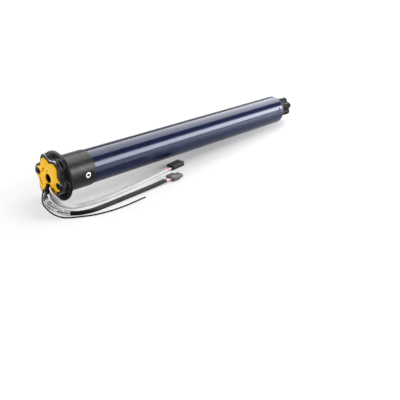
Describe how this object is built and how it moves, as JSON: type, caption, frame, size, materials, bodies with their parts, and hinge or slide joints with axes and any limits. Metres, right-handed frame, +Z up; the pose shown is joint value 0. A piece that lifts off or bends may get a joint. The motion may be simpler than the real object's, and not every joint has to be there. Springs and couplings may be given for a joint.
{
  "type": "tubular roller blind motor",
  "caption": "Tubular motor for a roller blind: lobed head with a yellow face, free-running crown, navy tube, planetary gearbox, lobed drive and short flat leads.",
  "frame": {"origin": "centre of the head's front rim plane, on the motor axis", "axes": "+X along the motor axis from the head to the drive end, +Z up as the motor lies in the picture"},
  "size_m": [0.4976, 0.1095, 0.0644],
  "materials": {
    "black_plastic": "satin",
    "yellow_plastic": "satin",
    "crown_plastic": "fine texture",
    "navy_paint": "gloss",
    "bright_steel": "bright",
    "steel": "plain",
    "bronze": "plain",
    "copper": "plain",
    "pale_plastic": "plain",
    "gear_plastic": "plain",
    "sintered_steel": "sintered",
    "board_green": "solder mask",
    "chip_black": "moulded",
    "capacitor_sleeve": "sleeve",
    "terminal_green": "moulded",
    "rubber": "moulded",
    "white_jacket": "ribbed",
    "black_jacket": "ribbed",
    "label_paper": "bare",
    "plug_grey": "moulded",
    "blue_insulation": "plain",
    "red_insulation": "plain",
    "pale_insulation": "plain",
    "ferrite": "sintered",
    "orange_plastic": "plain"
  },
  "bodies": {
    "stator": {"head_body": "black_plastic", "star_cover": "yellow_plastic", "set_switch": "chip_black", "cable_clamp": "plug_grey", "motor_tube": "navy_paint", "tube_collar": "black_plastic", "collar_pins": "steel", "board_tray": "pale_plastic", "circuit_board": "board_green", "board_chips": "chip_black", "board_capacitors": "capacitor_sleeve", "board_terminals": "terminal_green", "motor_leads": "red_insulation", "motor_can": "steel", "motor_rear_cap": "chip_black", "motor_magnets": "ferrite", "motor_bearings": "bronze", "damper_rings": "rubber", "motor_plate": "steel", "motor_plate_screws": "steel", "ring_gear": "sintered_steel", "end_bearing": "black_plastic", "output_bush": "bronze", "shaft_seal": "rubber", "gearbox_screws": "chip_black", "white_cable": "white_jacket", "black_cable": "black_jacket", "antenna_wire": "black_jacket", "cable_label": "label_paper", "socket_housing": "chip_black", "plug_housing": "plug_grey", "blue_conductors": "blue_insulation", "red_conductors": "red_insulation", "pale_conductors": "pale_insulation", "contacts": "bronze"},
    "output": {"output_shaft": "steel", "drive_star": "black_plastic", "drive_screw": "steel"},
    "crown_body": {"crown": "crown_plastic", "crown_screws": "bright_steel"},
    "carrier_body": {"carrier_one": "steel"},
    "rotor": {"rotor_shaft": "bright_steel", "rotor_core": "sintered_steel", "commutator": "copper", "encoder_magnet": "ferrite", "sun_pinion": "bronze"},
    "planet_a1_body": {"planet_a1": "gear_plastic"},
    "planet_a2_body": {"planet_a2": "gear_plastic"},
    "planet_a3_body": {"planet_a3": "gear_plastic"},
    "planet_b1_body": {"planet_b1": "sintered_steel"},
    "planet_b2_body": {"planet_b2": "sintered_steel"},
    "planet_b3_body": {"planet_b3": "sintered_steel"},
    "button": {"set_button": "orange_plastic"}
  },
  "joints": [
    {"name": "drive_spin", "type": "hinge", "parent": "stator", "child": "output", "pos_m": [0.46, 0, 0], "axis": [1, 0, 0], "continuous": true},
    {"name": "crown_spin", "type": "hinge", "parent": "stator", "child": "crown_body", "pos_m": [0.035, 0, 0], "axis": [1, 0, 0], "continuous": true},
    {"name": "carrier_spin", "type": "hinge", "parent": "stator", "child": "carrier_body", "pos_m": [0.37, 0, 0], "axis": [1, 0, 0], "continuous": true},
    {"name": "rotor_spin", "type": "hinge", "parent": "stator", "child": "rotor", "pos_m": [0.3, 0, 0], "axis": [1, 0, 0], "continuous": true},
    {"name": "planet_a1_spin", "type": "hinge", "parent": "carrier_body", "child": "planet_a1_body", "pos_m": [0.36, 0, -0.0108], "axis": [1, 0, 0], "continuous": true},
    {"name": "planet_a2_spin", "type": "hinge", "parent": "carrier_body", "child": "planet_a2_body", "pos_m": [0.36, 0.00935, 0.0054], "axis": [1, 0, 0], "continuous": true},
    {"name": "planet_a3_spin", "type": "hinge", "parent": "carrier_body", "child": "planet_a3_body", "pos_m": [0.36, -0.00935, 0.0054], "axis": [1, 0, 0], "continuous": true},
    {"name": "planet_b1_spin", "type": "hinge", "parent": "output", "child": "planet_b1_body", "pos_m": [0.39, 0, -0.0108], "axis": [1, 0, 0], "continuous": true},
    {"name": "planet_b2_spin", "type": "hinge", "parent": "output", "child": "planet_b2_body", "pos_m": [0.39, 0.00935, 0.0054], "axis": [1, 0, 0], "continuous": true},
    {"name": "planet_b3_spin", "type": "hinge", "parent": "output", "child": "planet_b3_body", "pos_m": [0.39, -0.00935, 0.0054], "axis": [1, 0, 0], "continuous": true},
    {"name": "button_press", "type": "slide", "parent": "stator", "child": "button", "axis": [1, 0, 0], "range_m": [0, 0.0007], "stiffness_N_per_m": 1500, "springref_m": -0.0004}
  ],
  "couplings": [
    {"joint": "carrier_spin", "follows": "drive_spin", "ratio": 6},
    {"joint": "rotor_spin", "follows": "drive_spin", "ratio": 36},
    {"joint": "planet_a1_spin", "follows": "drive_spin", "ratio": -15},
    {"joint": "planet_b1_spin", "follows": "drive_spin", "ratio": -2.5},
    {"joint": "planet_a2_spin", "follows": "drive_spin", "ratio": -15},
    {"joint": "planet_b2_spin", "follows": "drive_spin", "ratio": -2.5},
    {"joint": "planet_a3_spin", "follows": "drive_spin", "ratio": -15},
    {"joint": "planet_b3_spin", "follows": "drive_spin", "ratio": -2.5}
  ]
}
